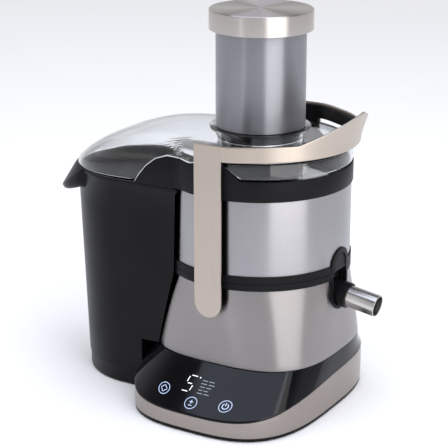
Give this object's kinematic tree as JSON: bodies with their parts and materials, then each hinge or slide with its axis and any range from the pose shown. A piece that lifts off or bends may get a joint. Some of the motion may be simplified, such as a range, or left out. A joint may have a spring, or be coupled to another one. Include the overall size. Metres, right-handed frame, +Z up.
{
  "type": "centrifugal juicer",
  "caption": "Upright centrifugal juicer with a steel-clad motor base, round bowl with a side spout, clear lid and feed chute, swinging locking arm and a side pulp container.",
  "frame": {"origin": "middle of the footprint, at table level; the spindle axis stands at x = 42.2 mm, y = 16.5 mm", "axes": "+Z up along the spindle; +X towards the juice spout, with the pulp container at -X; -Y towards the user and the control panel"},
  "size_m": [0.3396, 0.231, 0.3714],
  "materials": {
    "black_plastic": "moulded, satin",
    "satin_black": "fine satin",
    "piano_black": "high gloss",
    "rubber": "matte",
    "band_steel": "brushed along the band",
    "housing_steel": "satin, brushed round",
    "bowl_steel": "brushed round",
    "arm_steel": "brushed along its length",
    "cap_steel": "spun brush on top",
    "sleeve_steel": "fine satin",
    "spout_steel": "brushed round",
    "mesh_steel": "etched sieve",
    "zinc": "plated",
    "bearing_steel": "ground",
    "core_iron": "stacked laminations",
    "copper": "enamelled",
    "circuit_board": "laminate",
    "display": "lit from behind",
    "clear_plastic": "clear"
  },
  "bodies": {
    "root": {"base_pan": "black_plastic", "rubber_feet": "rubber", "base_band": "band_steel", "deck_cover": "piano_black", "cord_gland": "black_plastic", "base_screws": "zinc", "display_board": "circuit_board", "display_digit": "display", "touch_springs": "zinc", "control_board": "circuit_board", "motor_lower_bracket": "zinc", "motor_grommets": "rubber", "motor_spacers": "zinc", "motor_bolts": "zinc", "stator_core": "core_iron", "field_coils": "copper", "motor_upper_bracket": "zinc", "lower_bearing": "bearing_steel", "upper_bearing": "bearing_steel", "brush_holders": "copper", "motor_housing": "housing_steel", "motor_top_deck": "black_plastic", "spout_frame": "black_plastic", "shaft_seal": "rubber", "pivot_bosses": "black_plastic", "pivot_pins": "bearing_steel", "safety_switches": "black_plastic"},
    "rotor": {"motor_shaft": "bearing_steel", "armature_core": "core_iron", "armature_windings": "copper", "commutator": "copper", "cooling_fan": "black_plastic", "drive_coupling": "black_plastic"},
    "arm": {"arm_cover": "arm_steel", "arm_liner": "black_plastic"},
    "bowl": {"bowl_shell": "bowl_steel", "juice_bowl": "black_plastic", "bowl_lower_ring": "black_plastic", "spout_socket": "black_plastic", "spout_tube": "spout_steel", "bowl_top_ring": "satin_black"},
    "basket": {"filter_basket": "mesh_steel", "basket_rim": "clear_plastic", "grater_disc": "mesh_steel", "basket_hub": "black_plastic"},
    "lid": {"lid_cover": "clear_plastic", "chute_sleeve": "sleeve_steel"},
    "pusher": {"pusher_body": "satin_black", "pusher_cap": "cap_steel", "pusher_head": "satin_black"},
    "container": {"pulp_container": "satin_black"}
  },
  "joints": [
    {"name": "motor_spin", "type": "hinge", "parent": "root", "child": "rotor", "pos_m": [0.0422, 0.0165, 0.07], "axis": [0, 0, 1], "continuous": true},
    {"name": "basket_spin", "type": "hinge", "parent": "bowl", "child": "basket", "pos_m": [0.0422, 0.0165, 0.158], "axis": [0, 0, 1], "continuous": true},
    {"name": "arm_swing", "type": "hinge", "parent": "root", "child": "arm", "pos_m": [0.0422, 0.0165, 0.115], "axis": [0, 1, 0], "range_deg": [0, 80]},
    {"name": "bowl_lift", "type": "slide", "parent": "root", "child": "bowl", "axis": [0, 0, 1], "range_m": [0, 0.06]},
    {"name": "lid_lift", "type": "slide", "parent": "bowl", "child": "lid", "axis": [0, 0, 1], "range_m": [0, 0.08]},
    {"name": "pusher_slide", "type": "slide", "parent": "lid", "child": "pusher", "axis": [0, 0, 1], "range_m": [0, 0.12]},
    {"name": "container_slide", "type": "slide", "parent": "root", "child": "container", "axis": [-1, 0, 0], "range_m": [0, 0.15]}
  ],
  "couplings": [
    {"joint": "basket_spin", "follows": "motor_spin", "ratio": 1}
  ]
}
